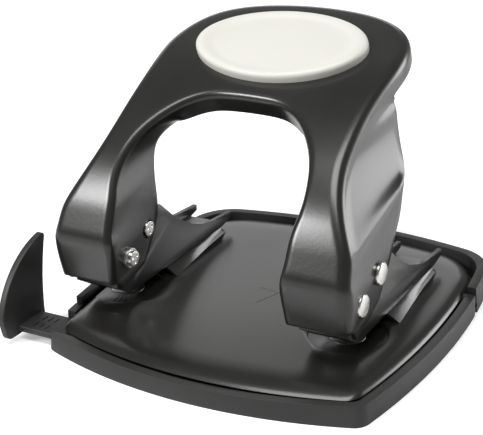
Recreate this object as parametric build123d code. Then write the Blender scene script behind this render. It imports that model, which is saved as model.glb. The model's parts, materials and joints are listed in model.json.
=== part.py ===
from build123d import *
import math
import os

os.makedirs("parts", exist_ok=True)

# A two-hole lever punch for A4 paper. X runs to the right, Y to the rear, Z up.
# z = 0 is the table, x = 0 lies midway between the two holes, y = 0 is the line of the punches.
# All sizes are in millimetres.

# Punching
HOLE_SPACING = 80.0
HOLE_DIA = 5.5
STROKE = 8.0
HOLE_TO_EDGE = 12.0
PAPER_GAP = 3.0
RUN_FIT = 0.06
SLIDE_GAP = 0.4

# Base plate and tray outline
BODY_LEFT = -52.5
BODY_RIGHT = 66.4
BODY_FRONT = -44.0
BODY_REAR = 74.0
FRONT_BOW = 158.0
SIDE_BOW = 235.0
REAR_BOW = 200.0
FRONT_CORNER = 5.0
REAR_CORNER = 16.0

# Base plate
PLATE_T = 1.2
PLATE_TOP = 8.0
PLATE_EDGE = 5.0
PLATE_INSET = 4.0
APRON_ENDS = 10.5
APRON_SIDES = 4.6
DIE_RECESS_R = 12.5
DIE_RECESS_DEPTH = 0.8

# Chip tray and rear shell
TRAY_TOP = 4.5
TRAY_WALL = 3.4
TRAY_FLOOR = 1.2
TRAY_DRAFT = 6.0
SEAM_Y = 42.0
SEAM_GAP = 0.8
SHELL_TOP = 8.4
SHELL_DRAFT = 3.0
CROSS_WALL_T = 2.2
SHELL_ARM_Y = -14.5
SHELL_ARM_X = 4.4
KNUCKLE_R = 2.2
HINGE_Z = 2.4
KNUCKLE_W = 9.0
KNUCKLE_XS = (-34.0, 46.0)
HINGE_PIN_DIA = 2.0
SCREW_DIA = 3.0
SCREW_XS = (-16.0, 28.0)
SCREW_Y = 52.0

# Bracket
CHEEK_HALF = 7.9
CHEEK_T = 1.4
TAIL_Y = 54.0
TAIL_Z = 14.3
TAIL_T = 2.0
NOSE_Y = -9.4
BRACKET_FRONT = -16.0
RIVET_DIA = 4.0
RIVET_YS = (22.0, 38.0)

# Pins
PIVOT_Y = -12.4
PIVOT_Z = 25.3
DRIVE_Z = 30.0
PIN_DIA = 5.0
HEAD_DIA = 7.1
HEAD_T = 1.3
HEAD_STAND = 0.7
NECK_RUN = 0.55
PIVOT_END = 3.2
DRIVE_END = 1.0
SLEEVE_WALL = 0.7
EAR_SLOT_GAP = 0.2

# Handle
SHEET_T = 1.4
LEG_HALF = 9.9
FOOT_Y = -19.3
FOOT_Z = 18.8
FOOT_ANGLE = 87.0
FOOT_RUN = 16.0
KNEE_R = 36.0
KNEE_ANGLE = 30.0
TOP_R = 172.0
TOP_ANGLE = 15.4
TOP_RUN = 26.5
LIP_DEPTH = 6.0
WAIST_HALF = 41.0
WAIST_Z = 64.5
TOP_HALF = 43.0
WINDOW_TOP_HALF = 21.5
HANDLE_TRAVEL = 35.0
EAR_REAR = 1.5
EAR_BOTTOM = 15.8
EAR_TOP = 46.0
SHOULDER_Z = 46.0
ARCH_TILT = 20.0
ARCH_Y = 16.3
ARCH_Z = 72.5
ARCH_DEPTH = 16.0

# Pad
PAD_LONG = 59.0
PAD_SHORT = 37.0
PAD_T = 3.6
PAD_RIM = 5.5
PAD_DISH = 1.0
PAD_Y = 39.5
PAD_Z = 81.0
PAD_SLOPE = 16.5

# Punch, spring and die
HEAD_BLOCK_DIA = 11.0
HEAD_BLOCK_H = 8.6
PUNCH_TIP_Z = 11.6
BUSH_DIA = 7.0
BUSH_H = 4.4
BUSH_SPIGOT_DIA = 6.5
SPRING_WIRE = 1.0
SPRING_MEAN_R = 4.2
SPRING_TURNS = 4
SPRING_LEAD = 1.3
DIE_FLANGE_DIA = 11.0
DIE_BODY_DIA = 8.6
DIE_LENGTH = 3.0
DIE_FLANGE_T = 0.6
DIE_FIT = 0.08

# Paper gauge
BAR_Y0 = -33.2
BAR_Y1 = -21.4
BAR_TOP = 4.5
BAR_T = 1.9
BAR_RIGHT = 46.0
FIN_X = -60.5
FIN_T = 2.4
FIN_TIP_Y = -15.2
FIN_TIP_Z = 30.4
FIN_FRONT_Y = -40.2
FIN_BOTTOM_Z = 1.8
GUIDE_WALL = 0.9
GUIDE_LEFT = -44.0
GUIDE_RIGHT = 30.0

BRACKET_Z = PLATE_TOP + PAPER_GAP
UNITS = {"left": -HOLE_SPACING / 2, "right": HOLE_SPACING / 2}


def save(name, shape):
    """Write one piece under its own name, and list its size."""
    shape.label = name
    export_step(shape, os.path.join("parts", name + ".step"))
    size = shape.bounding_box().size
    print(f"{name}: {len(shape.solids())} solid, {size.X:.1f} x {size.Y:.1f} x {size.Z:.1f}")


def side_prism(sketch, x0, x1):
    """A sketch drawn as (Y, Z), made solid from x0 to x1."""
    return Pos(x0, 0, 0) * extrude(Plane.YZ * sketch, x1 - x0)


def front_prism(sketch, y0, y1):
    """A sketch drawn as (X, Z), made solid from y0 to y1."""
    return Pos(0, y1, 0) * extrude(Plane.XZ * sketch, y1 - y0)


def block(x0, x1, y0, y1, z0, z1):
    """A box between two corners."""
    return Pos((x0 + x1) / 2, (y0 + y1) / 2, (z0 + z1) / 2) * Box(x1 - x0, y1 - y0, z1 - z0)


def rod_x(radius, x0, x1, y, z):
    """A round bar along X."""
    return Pos((x0 + x1) / 2, y, z) * Rot(0, 90, 0) * Cylinder(radius, abs(x1 - x0))


def rod_z(radius, x, y, z0, z1):
    """A round bar along Z."""
    return Pos(x, y, (z0 + z1) / 2) * Cylinder(radius, z1 - z0)


def polygon(points, radii=None):
    """A closed outline with its own corner radius at each point that has one."""
    face = make_face(Polyline(*points, close=True))
    for point, radius in (radii or {}).items():
        corner = face.vertices().sort_by_distance((*point, 0))[0]
        face = fillet(corner, radius)
    return face


# ---------------------------------------------------------------- outline of the body

def body_outline(inset, ends=0.0, sides=0.0):
    """The bowed outline of the base, where four wide discs overlap, with rounded corners.

    It is drawn in by an inset all round, and by more at its ends or its sides.
    """
    mid_x = (BODY_LEFT + BODY_RIGHT) / 2
    half = (BODY_RIGHT - BODY_LEFT) / 2 - inset - sides
    front = BODY_FRONT + inset + ends
    rear = BODY_REAR - inset - ends
    mid_y = (front + rear) / 2
    front_r = FRONT_BOW - inset - ends
    rear_r = REAR_BOW - inset - ends
    side_r = SIDE_BOW - inset - sides
    face = Pos(mid_x, front + front_r) * Circle(front_r)
    face &= Pos(mid_x, rear - rear_r) * Circle(rear_r)
    face &= Pos(mid_x + half - side_r, mid_y) * Rot(0, 0, 180) * Circle(side_r)
    face &= Pos(mid_x - half + side_r, mid_y) * Circle(side_r)
    face = fillet(face.vertices().sort_by(Axis.Y)[:2], max(FRONT_CORNER - inset / 2, 1.5))
    return fillet(face.vertices().sort_by(Axis.Y)[-2:], max(REAR_CORNER - inset / 2, 4.0))


def slab(face, z0, z1, draft):
    """An outline made solid between two heights, with a draft in degrees."""
    return Pos(0, 0, z0) * extrude(face, z1 - z0, taper=draft)


def plate_skin(drop):
    """The dished base plate as a full body, its skin lowered and drawn in by a drop."""
    foot = body_outline(PLATE_INSET + drop)
    shoulder = body_outline(PLATE_INSET + drop, APRON_ENDS * 0.35, APRON_SIDES * 0.3)
    crown = body_outline(PLATE_INSET + drop, APRON_ENDS, APRON_SIDES)
    z_foot = PLATE_EDGE - (2.0 if drop else 0.0)
    z_shoulder = PLATE_EDGE + (PLATE_TOP - PLATE_EDGE) * 0.55 - drop
    z_crown = PLATE_TOP - drop
    lower = loft([Pos(0, 0, z_foot) * foot, Pos(0, 0, z_shoulder) * shoulder], ruled=True)
    upper = loft([Pos(0, 0, z_shoulder) * shoulder, Pos(0, 0, z_crown) * crown], ruled=True)
    return lower + upper


# ---------------------------------------------------------------- base plate

LOUVRE_REAR = 48.0
LOUVRE_HALF = 11.0
LOUVRE_T = 1.0


def louvre(axis_x, grow):
    """The raised seat of one bracket, tapering to nothing at the rear, as a full body."""
    top_half = CHEEK_HALF + grow
    low_half = LOUVRE_HALF + grow
    rear = LOUVRE_REAR + 2 * grow
    front_low = [(axis_x - low_half, PLATE_TOP - 0.2), (axis_x + low_half, PLATE_TOP - 0.2),
                 (axis_x + top_half, BRACKET_Z + grow), (axis_x - top_half, BRACKET_Z + grow)]
    rear_low = [(axis_x - top_half, PLATE_TOP - 0.2), (axis_x + top_half, PLATE_TOP - 0.2),
                (axis_x + top_half, BRACKET_Z + grow), (axis_x - top_half, BRACKET_Z + grow)]
    front_face = Plane((0, HOLE_TO_EDGE, 0), x_dir=(1, 0, 0), z_dir=(0, -1, 0)) * polygon(front_low)
    rear_face = Plane((0, rear, 0), x_dir=(1, 0, 0), z_dir=(0, -1, 0)) * polygon(rear_low)
    inside_edge = extrude(body_outline(PLATE_INSET - grow), 20)
    return loft([front_face, rear_face], ruled=True) & inside_edge


def base_plate():
    plate = plate_skin(0.0) - plate_skin(PLATE_T)
    for axis_x in UNITS.values():
        plate += louvre(axis_x, 0.0)
        cavity = louvre(axis_x, -LOUVRE_T)
        plate -= cavity + Pos(0, -1.0, 0) * cavity
        recess = rod_z(DIE_RECESS_R, axis_x, 0, PLATE_TOP - DIE_RECESS_DEPTH, PLATE_TOP + 1)
        backing = rod_z(DIE_RECESS_R + PLATE_T, axis_x, 0,
                        PLATE_TOP - DIE_RECESS_DEPTH - PLATE_T, PLATE_TOP - PLATE_T)
        keep = block(axis_x - 20, axis_x + 20, -20, HOLE_TO_EDGE - 0.5, 0, 20)
        plate += backing & keep & plate_skin(0.0)
        plate -= recess & keep
        plate -= rod_z(DIE_BODY_DIA / 2 + RUN_FIT, axis_x, 0, 0, 20)
        plate -= rod_z(DIE_FLANGE_DIA / 2 + RUN_FIT, axis_x, 0,
                       PLATE_TOP - DIE_RECESS_DEPTH - DIE_FLANGE_T, PLATE_TOP + 1)
        for rivet_y in RIVET_YS:
            plate -= rod_z(RIVET_DIA / 2 + RUN_FIT, axis_x, rivet_y, 0, 20)
    return plate


# ---------------------------------------------------------------- brackets

def bracket(axis_x):
    """A folded channel: floor, two scalloped cheeks and a low front web."""
    scallop_low = (38.0, 15.8)
    side = [(NOSE_Y, BRACKET_Z), (TAIL_Y - 6, BRACKET_Z), (TAIL_Y, TAIL_Z - TAIL_T), (TAIL_Y, TAIL_Z),
            scallop_low, (27.0, 20.4), (18.0, 27.0), (10.8, 33.9), (-7.5, 33.6), (-13.2, 29.4),
            (BRACKET_FRONT, 27.0), (BRACKET_FRONT, 15.5)]
    rounding = {scallop_low: 30.0, (27.0, 20.4): 30.0, (10.8, 33.9): 1.0, (-7.5, 33.6): 3.0,
                (-13.2, 29.4): 3.0, (BRACKET_FRONT, 27.0): 1.2, (NOSE_Y, BRACKET_Z): 1.5}
    profile = polygon(side, rounding)
    outer = side_prism(profile, axis_x - CHEEK_HALF, axis_x + CHEEK_HALF)
    inner_half = CHEEK_HALF - CHEEK_T
    channel = block(axis_x - inner_half, axis_x + inner_half, BRACKET_FRONT + CHEEK_T, TAIL_Y + 5,
                    BRACKET_Z + CHEEK_T, 60)
    body = outer - channel
    open_end = block(axis_x - inner_half, axis_x + inner_half, TAIL_Y - 6, TAIL_Y + 5, 0, 60)
    body = body - open_end
    body = body - rod_z(BUSH_SPIGOT_DIA / 2, axis_x, 0, 0, 60)
    body = body - rod_x(PIN_DIA / 2 + RUN_FIT, axis_x - 20, axis_x + 20, PIVOT_Y, PIVOT_Z)
    slot = SlotOverall(STROKE + PIN_DIA + 2 * SLIDE_GAP, PIN_DIA + 2 * SLIDE_GAP, rotation=90)
    slot = Pos(0, DRIVE_Z - STROKE / 2) * slot
    body = body - side_prism(slot, axis_x - 20, axis_x + 20)
    for rivet_y in RIVET_YS:
        body = body - rod_z(RIVET_DIA / 2 + RUN_FIT, axis_x, rivet_y, 0, BRACKET_Z + 2)
    return body


def bracket_rivet(axis_x, rivet_y):
    """A rivet through the bracket floor and its seat, domed above and upset below."""
    floor_top = BRACKET_Z + CHEEK_T
    seat_under = BRACKET_Z - LOUVRE_T
    shank = rod_z(RIVET_DIA / 2, axis_x, rivet_y, seat_under - 0.1, floor_top + 0.1)
    head = rod_z(RIVET_DIA * 0.85, axis_x, rivet_y, floor_top, floor_top + 1.3)
    head = chamfer(head.edges().sort_by(Axis.Z)[-1], 0.8)
    foot = rod_z(RIVET_DIA * 0.75, axis_x, rivet_y, seat_under - 0.9, seat_under)
    return shank + head + foot


# ---------------------------------------------------------------- pins

def pin(axis_x, outward, y, z, end_stand):
    """A pin with a flat head on the outer side."""
    head_in = axis_x + outward * (LEG_HALF + HEAD_STAND)
    head_out = head_in + outward * HEAD_T
    end = axis_x - outward * (LEG_HALF + end_stand)
    body = rod_x(PIN_DIA / 2, end, head_in, y, z)
    body += rod_x(HEAD_DIA / 2 - 0.8, head_in - outward * NECK_RUN, head_in, y, z)
    head = rod_x(HEAD_DIA / 2, head_in, head_out, y, z)
    rim = head.edges().sort_by(Axis.X)[-1 if outward > 0 else 0]
    body += chamfer(rim, 0.4)
    return body


def pivot_sleeve(axis_x, outward):
    """The spacer that fills the pivot's free end between the ear and the stake."""
    start = axis_x - outward * (LEG_HALF + 0.1)
    end = axis_x - outward * (LEG_HALF + PIVOT_END - 1.2)
    sleeve = rod_x(PIN_DIA / 2 + SLEEVE_WALL, start, end, PIVOT_Y, PIVOT_Z)
    return sleeve - rod_x(PIN_DIA / 2 + RUN_FIT / 2, axis_x - 20, axis_x + 20, PIVOT_Y, PIVOT_Z)


# ---------------------------------------------------------------- handle

def web_edges(out=0.0, below=0.0, beyond=0.0):
    """The handle's side profile: up the leg, round the knee and back along the top.

    The line is moved outwards by out, and runs on below the leg and beyond the rear edge.
    """
    rise = math.radians(FOOT_ANGLE)
    along = (math.cos(rise), math.sin(rise))
    start = (FOOT_Y - out * along[1] - below * along[0], FOOT_Z + out * along[0] - below * along[1])
    run = FOOT_RUN + below
    leg = Line(start, (start[0] + run * along[0], start[1] + run * along[1]))
    knee = JernArc(leg @ 1, leg % 1, KNEE_R + out, KNEE_ANGLE - FOOT_ANGLE)
    crown = JernArc(knee @ 1, knee % 1, TOP_R + out, TOP_ANGLE - KNEE_ANGLE)
    back = Line(crown @ 1, crown @ 1 + (TOP_RUN + beyond) * (crown % 1))
    return [leg, knee, crown, back]


def closed_profile(edges, points):
    """A side profile closed by a chain of points from its rear end to its foot."""
    first = edges[0] @ 0
    last = edges[-1] @ 1
    chain = [(last.X, last.Y)] + points + [(first.X, first.Y)]
    return make_face(edges + [Polyline(*chain)])


def handle_solid_profiles():
    """Two side profiles: one for the outer flanges, one for the inner flanges and the top."""
    edges = web_edges()
    back = edges[-1]
    down = Vector(math.sin(math.radians(TOP_ANGLE)), -math.cos(math.radians(TOP_ANGLE)), 0)
    lip_end = back @ 1 + down * LIP_DEPTH
    lip_start = back @ 0 + down * LIP_DEPTH
    lip = [(lip_end.X, lip_end.Y), (lip_start.X, lip_start.Y)]
    ear = [(EAR_REAR, 20.0), (-3.5, 18.0), (-16.0, EAR_BOTTOM)]
    outer = lip + [(31.7, 70.6), (26.5, 61.0), (19.5, 50.5), (17.0, 42.0), (11.5, 33.5)] + ear
    inner = lip + [(19.5, 66.5), (11.0, 60.0), (7.8, 52.0), (6.4, 34.0)] + ear
    return closed_profile(edges, outer), closed_profile(edges, inner)


def mirrored(right):
    """A closed outline from its right-hand points, listed upwards."""
    return right + [(-x, z) for x, z in reversed(right)]


def both_sides(points_and_radii):
    """The same corner radius on the left and on the right."""
    rounding = {}
    for (x, z), radius in points_and_radii:
        rounding[(x, z)] = radius
        rounding[(-x, z)] = radius
    return rounding


def leg_outline(inset):
    """The outer outline of the legs and the top, seen from the front."""
    leg_x = HOLE_SPACING / 2 + LEG_HALF - inset
    bulge = (leg_x, SHOULDER_Z)
    waist = (WAIST_HALF - inset, WAIST_Z)
    return polygon(mirrored([(leg_x, 0), bulge, waist, (TOP_HALF - inset, 110)]),
                   both_sides([(bulge, 20.0), (waist, 30.0)]))


def top_outline(inset):
    """The top seen from above, with its rounded rear corners."""
    rear = (web_edges()[-1] @ 1).X - inset
    side = TOP_HALF + 0.3 - inset
    shoulder = (side, rear - 15.0)
    hip = (side - 11.0, rear - 3.6)
    tail = (side - 28.0, rear)
    right = [(70, -60), (70, 20), (side, 40), shoulder, hip, tail]
    return polygon(mirrored(right), both_sides([(shoulder, 9.0), (hip, 9.0), (tail, 20.0)]))


def leg_window(grow):
    """The gap between the legs, seen from the front."""
    inner = HOLE_SPACING / 2 - LEG_HALF + grow
    pinch = (inner, EAR_TOP)
    swell = (inner + 1.8, EAR_TOP + 6.0)
    outline = polygon(mirrored([(inner, -5), pinch, swell, (inner + 0.4, 60.0)]),
                      both_sides([(pinch, 8.0), (swell, 8.0)]))
    return front_prism(outline, -60, 90)


def arch_window(grow):
    """The arch between the legs, cut nearly square to the top so that its lip hangs down."""
    slope = math.radians(ARCH_TILT)
    plane = Plane((0, ARCH_Y, ARCH_Z), x_dir=(1, 0, 0), z_dir=(0, -math.sin(slope), math.cos(slope)))
    low = (HOLE_SPACING / 2 - LEG_HALF + 1.6 + grow, -19.0)
    crown = (WINDOW_TOP_HALF + grow, grow)
    outline = polygon(mirrored([(low[0], -60), low, crown]), both_sides([(low, 20.0), (crown, 8.0)]))
    return plane * (Pos(0, 0, -ARCH_DEPTH) * extrude(outline, ARCH_DEPTH + 40))


def handle_limits(inset):
    """Everything inside the handle's outlines, all drawn in by an inset."""
    body = front_prism(leg_outline(inset), -60, 100)
    body = body & extrude(top_outline(inset), 130)
    return body - leg_window(inset) - arch_window(inset)


def handle():
    """A pressed shell: web, rolled lip and four flanges that end in ears."""
    outer, inner = handle_solid_profiles()
    split = (WAIST_HALF + WINDOW_TOP_HALF) / 2 + 6.0
    body = side_prism(inner, -split, split)
    body += side_prism(outer, split, 60) + side_prism(outer, -60, -split)
    body = body & handle_limits(0.0)
    hollow = closed_profile(web_edges(-SHEET_T, 20.0, 20.0), [(120, -20), (-20, -20)])
    body -= side_prism(hollow, -60, 60) & handle_limits(SHEET_T)
    for axis_x in UNITS.values():
        body -= rod_x(PIN_DIA / 2 + RUN_FIT, axis_x - 15, axis_x + 15, PIVOT_Y, PIVOT_Z)
        body -= side_prism(drive_slot(), axis_x - 15, axis_x + 15)
    return body


def drive_slot():
    """The short slot in each ear that lets the drive pin stay on the punch's axis."""
    shortest = -PIVOT_Y
    longest = math.hypot(PIVOT_Y, DRIVE_Z - PIVOT_Z)
    angle = math.degrees(math.atan2(DRIVE_Z - PIVOT_Z, -PIVOT_Y))
    slot = SlotOverall(PIN_DIA + longest - shortest + 2 * EAR_SLOT_GAP, PIN_DIA + 2 * EAR_SLOT_GAP)
    return Pos(PIVOT_Y, PIVOT_Z) * Rot(0, 0, angle) * Pos((shortest + longest) / 2, 0) * slot


def handle_pad():
    """The oval pad: a raised rim round a shallow dish, on the curve of the handle's top."""
    def band(low, high):
        under = closed_profile(web_edges(high, 0, 20), [(150, -50), (-60, -50)])
        cut = closed_profile(web_edges(low, 0, 20), [(150, -60), (-70, -60)])
        return side_prism(under - cut, -40, 40)

    slope = math.radians(PAD_SLOPE)
    plane = Plane((0, PAD_Y, PAD_Z), x_dir=(1, 0, 0), z_dir=(0, -math.sin(slope), math.cos(slope)))
    oval = plane * (Pos(0, 0, -15) * extrude(Ellipse(PAD_LONG / 2, PAD_SHORT / 2), 30))
    dish = plane * (Pos(0, 0, -15) * extrude(Ellipse(PAD_LONG / 2 - PAD_RIM, PAD_SHORT / 2 - PAD_RIM), 30))
    pad = oval & band(0.0, PAD_T)
    return pad - (dish & band(PAD_T - PAD_DISH, PAD_T + 5))


# ---------------------------------------------------------------- punch, bush, spring and die

def punch(axis_x):
    """The punch: a round shank with a notched cutting end and a head that takes the drive pin."""
    head_low = DRIVE_Z - HEAD_BLOCK_H / 2
    body = rod_z(HOLE_DIA / 2, axis_x, 0, PUNCH_TIP_Z, head_low + 1)
    head = rod_z(HEAD_BLOCK_DIA / 2, axis_x, 0, head_low, DRIVE_Z + HEAD_BLOCK_H / 2)
    body += chamfer(head.edges().filter_by(GeomType.CIRCLE), 0.6)
    notch = side_prism(polygon([(-HOLE_DIA, PUNCH_TIP_Z - 0.5), (HOLE_DIA, PUNCH_TIP_Z - 0.5),
                                (0, PUNCH_TIP_Z + 1.1)]), axis_x - HOLE_DIA, axis_x + HOLE_DIA)
    body -= notch
    return body - rod_x(PIN_DIA / 2 + RUN_FIT, axis_x - 10, axis_x + 10, 0, DRIVE_Z)


def guide_bush(axis_x):
    """The shouldered bush in the bracket's floor that guides the punch."""
    floor_top = BRACKET_Z + CHEEK_T
    spigot = rod_z(BUSH_SPIGOT_DIA / 2, axis_x, 0, BRACKET_Z, floor_top)
    collar = rod_z(BUSH_DIA / 2, axis_x, 0, floor_top, BRACKET_Z + BUSH_H)
    collar = chamfer(collar.edges().sort_by(Axis.Z)[-1], 0.4)
    return spigot + collar - rod_z(HOLE_DIA / 2 + RUN_FIT, axis_x, 0, 0, 40)


def biarc(start, start_dir, end, end_dir):
    """Two arcs that join two points with the given directions, without a corner."""
    gap = end - start
    both = start_dir + end_dir
    spread = 2 * (1 - start_dir.dot(end_dir))
    reach = (-gap.dot(both) + math.sqrt(gap.dot(both) ** 2 + spread * gap.dot(gap))) / spread
    middle = (start + start_dir * reach + end - end_dir * reach) * 0.5
    first = TangentArc(start, middle, tangent=start_dir)
    second = TangentArc(middle, end, tangent=first % 1)
    return [first, second]


def spring_path():
    """The wire's centre line: short straight ends and half turns of a steady helix."""
    low = BRACKET_Z + CHEEK_T
    high = DRIVE_Z - HEAD_BLOCK_H / 2
    lead = SPRING_WIRE + SPRING_LEAD
    pitch = (high - low - 2 * lead) / SPRING_TURNS
    rise = pitch / (2 * math.pi)

    def on_helix(turn):
        angle = 2 * math.pi * turn
        point = Vector(SPRING_MEAN_R * math.cos(angle), SPRING_MEAN_R * math.sin(angle),
                       low + lead + pitch * turn)
        way = Vector(-SPRING_MEAN_R * math.sin(angle), SPRING_MEAN_R * math.cos(angle), rise)
        return point, way.normalized()

    up = Vector(0, 0, 1)
    first, first_way = on_helix(0)
    last, last_way = on_helix(SPRING_TURNS)
    low_end = Vector(first.X, first.Y - SPRING_LEAD, low + SPRING_WIRE)
    high_end = Vector(last.X, last.Y + SPRING_LEAD, high - SPRING_WIRE)
    edges = [Line(low_end - up * SPRING_WIRE, low_end)]
    edges += biarc(low_end, up, first, first_way)
    for half_turn in range(2 * SPRING_TURNS):
        start, start_way = on_helix(half_turn / 2)
        end, end_way = on_helix((half_turn + 1) / 2)
        edges += biarc(start, start_way, end, end_way)
    edges += biarc(last, last_way, high_end, up)
    edges.append(Line(high_end, high_end + up * SPRING_WIRE))
    return Wire(edges)


def spring(axis_x):
    """The return spring, one unbroken wire, eight-sided so that its mesh stays light."""
    path = spring_path()
    section = Plane(origin=path @ 0, z_dir=path % 0) * RegularPolygon(SPRING_WIRE / 2, 8)
    return Pos(axis_x, 0, 0) * sweep(section, path=path)


def spring_self_gap():
    """The least gap between two turns, measured on points of the wire."""
    path = spring_path()
    count = 400
    points = [path @ (i / count) for i in range(count + 1)]
    length = path.length
    least = 1000.0
    for i, point in enumerate(points):
        for j in range(i + 1, count + 1):
            if (j - i) / count * length > 3 * SPRING_MEAN_R:
                least = min(least, (points[j] - point).length)
    return least - SPRING_WIRE


def die(axis_x):
    """The hardened die set flush in the floor of its recess."""
    top = PLATE_TOP - DIE_RECESS_DEPTH
    flange = rod_z(DIE_FLANGE_DIA / 2, axis_x, 0, top - DIE_FLANGE_T, top)
    body = flange + rod_z(DIE_BODY_DIA / 2, axis_x, 0, top - DIE_LENGTH, top - DIE_FLANGE_T)
    return body - rod_z(HOLE_DIA / 2 + DIE_FIT, axis_x, 0, 0, 20)


# ---------------------------------------------------------------- paper gauge

def paper_gauge():
    """The sliding bar and its fin-shaped stop."""
    bar = block(FIN_X, BAR_RIGHT, BAR_Y0, BAR_Y1, BAR_TOP - BAR_T, BAR_TOP)
    front = (FIN_FRONT_Y, 9.5)
    low_front = (FIN_FRONT_Y + 1.6, FIN_BOTTOM_Z)
    low_rear = (BAR_Y1 + 1.6, FIN_BOTTOM_Z)
    tip = (FIN_TIP_Y, FIN_TIP_Z)
    edges = [
        ThreePointArc(tip, (-32.6, 22.0), front),
        Line(front, low_front),
        Line(low_front, low_rear),
        Line(low_rear, (BAR_Y1 + 1.6, 6.0)),
        ThreePointArc((BAR_Y1 + 1.6, 6.0), (-18.6, 17.0), tip),
    ]
    face = make_face(edges)
    face = fillet(face.vertices().sort_by_distance((*tip, 0))[0], 1.1)
    face = fillet(face.vertices().sort_by_distance((*low_front, 0))[0], 2.4)
    fin = side_prism(face, FIN_X - FIN_T / 2, FIN_X + FIN_T / 2)
    return bar + fin


def gauge_guide():
    """The channel under the base plate that holds the gauge's bar."""
    bottom = BAR_TOP - BAR_T - RUN_FIT - GUIDE_WALL
    outer = block(GUIDE_LEFT, GUIDE_RIGHT, BAR_Y0 - RUN_FIT - GUIDE_WALL, BAR_Y1 + RUN_FIT + GUIDE_WALL,
                  bottom, PLATE_TOP)
    under_plate = plate_skin(PLATE_T) + block(-200, 200, -200, 200, -1, BAR_TOP)
    slot = block(GUIDE_LEFT - 1, GUIDE_RIGHT + 1, BAR_Y0 - RUN_FIT, BAR_Y1 + RUN_FIT,
                 bottom + GUIDE_WALL, BAR_TOP + RUN_FIT)
    lips = block(GUIDE_LEFT - 1, GUIDE_RIGHT + 1, BAR_Y0 + 2.0, BAR_Y1 - 2.0, BAR_TOP, PLATE_TOP + 1)
    inside_tray = extrude(body_outline(TRAY_WALL + SLIDE_GAP), 20)
    return (outer & under_plate & inside_tray) - slot - lips


# ---------------------------------------------------------------- tray and rear shell

def knuckles(xs):
    """Round hinge knuckles on the seam's axis."""
    body = Part()
    for x in xs:
        body += rod_x(KNUCKLE_R, x - KNUCKLE_W / 2, x + KNUCKLE_W / 2, SEAM_Y, HINGE_Z)
    return body


def knuckle_room(xs):
    """The clearance cut round the other leaf's knuckles."""
    body = Part()
    room = KNUCKLE_R + SLIDE_GAP
    for x in xs:
        half = KNUCKLE_W / 2 + SLIDE_GAP
        body += block(x - half, x + half, SEAM_Y - room, SEAM_Y + room, -1, HINGE_Z + room)
    return body


def arm_block(grow):
    """The left side of the rear shell, which runs forward to the gauge."""
    return block(-100, BODY_LEFT + SHELL_ARM_X + grow, SHELL_ARM_Y - grow, SEAM_Y + 5, -1, 50)


def chip_tray():
    """The tray under the dies, open at its left front corner for the gauge's bar."""
    body = slab(body_outline(0.0), 0, TRAY_TOP, TRAY_DRAFT)
    hollow = Pos(0, 0, TRAY_FLOOR) * extrude(body_outline(TRAY_WALL), TRAY_TOP)
    body -= hollow & block(-100, 100, -100, SEAM_Y - TRAY_WALL, -1, 50)
    body -= block(-100, 100, SEAM_Y - SEAM_GAP / 2, 200, -1, 50)
    body -= arm_block(SEAM_GAP)
    chamfered = polygon([(SEAM_Y, HINGE_Z), (SEAM_Y - HINGE_Z - 0.5, -0.5), (SEAM_Y + 5, -0.5)])
    body -= side_prism(chamfered, -100, 100)
    body -= block(-100, BODY_LEFT + 16, BAR_Y0 - SEAM_GAP, BAR_Y1 + SEAM_GAP, TRAY_FLOOR, 50)
    body -= knuckle_room(shell_knuckle_xs())
    body += knuckles(KNUCKLE_XS)
    return body - rod_x(HINGE_PIN_DIA / 2 + RUN_FIT, -100, 100, SEAM_Y, HINGE_Z)


def shell_knuckle_xs():
    """The rear shell's knuckles stand beside the tray's, one on each side."""
    step = KNUCKLE_W + SLIDE_GAP
    return [x + side * step for x in KNUCKLE_XS for side in (-1, 1)]


def rear_shell():
    """The fixed shell round the rear of the plate, with two screw posts."""
    body = slab(body_outline(0.0), 0, SHELL_TOP, SHELL_DRAFT)
    hollow = Pos(0, 0, TRAY_FLOOR) * extrude(body_outline(TRAY_WALL), SHELL_TOP)
    cross_wall = block(-100, 100, SEAM_Y, SEAM_Y + SEAM_GAP / 2 + CROSS_WALL_T, -1, TRAY_TOP)
    body -= hollow - cross_wall
    front = block(-100, 100, -100, SEAM_Y + SEAM_GAP / 2, -1, 50) - arm_block(0.0)
    body -= front
    body -= knuckle_room(KNUCKLE_XS)
    body += knuckles(shell_knuckle_xs())
    for x in SCREW_XS:
        post = rod_z(SCREW_DIA * 1.2, x, SCREW_Y, TRAY_FLOOR / 2, PLATE_TOP - PLATE_T)
        body += post
        body -= rod_z(SCREW_DIA / 2 + RUN_FIT, x, SCREW_Y, -1, 20)
        body -= rod_z(SCREW_DIA * 0.95, x, SCREW_Y, -1, 2.0)
    return body - rod_x(HINGE_PIN_DIA / 2 + RUN_FIT / 2, -100, 100, SEAM_Y, HINGE_Z)


def hinge_rod(x):
    """The steel rod through one set of knuckles."""
    half = KNUCKLE_W * 1.5 + SLIDE_GAP
    return rod_x(HINGE_PIN_DIA / 2, x - half, x + half, SEAM_Y, HINGE_Z)


def shell_screw(x):
    """A screw up through a post into the base plate."""
    shank = rod_z(SCREW_DIA / 2, x, SCREW_Y, 1.9, PLATE_TOP - PLATE_T)
    head = rod_z(SCREW_DIA * 0.9, x, SCREW_Y, 0.3, 2.0)
    slot = block(x - 2.0, x + 2.0, SCREW_Y - 0.35, SCREW_Y + 0.35, 0, 0.9)
    return shank + head - slot


# ---------------------------------------------------------------- build

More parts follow.
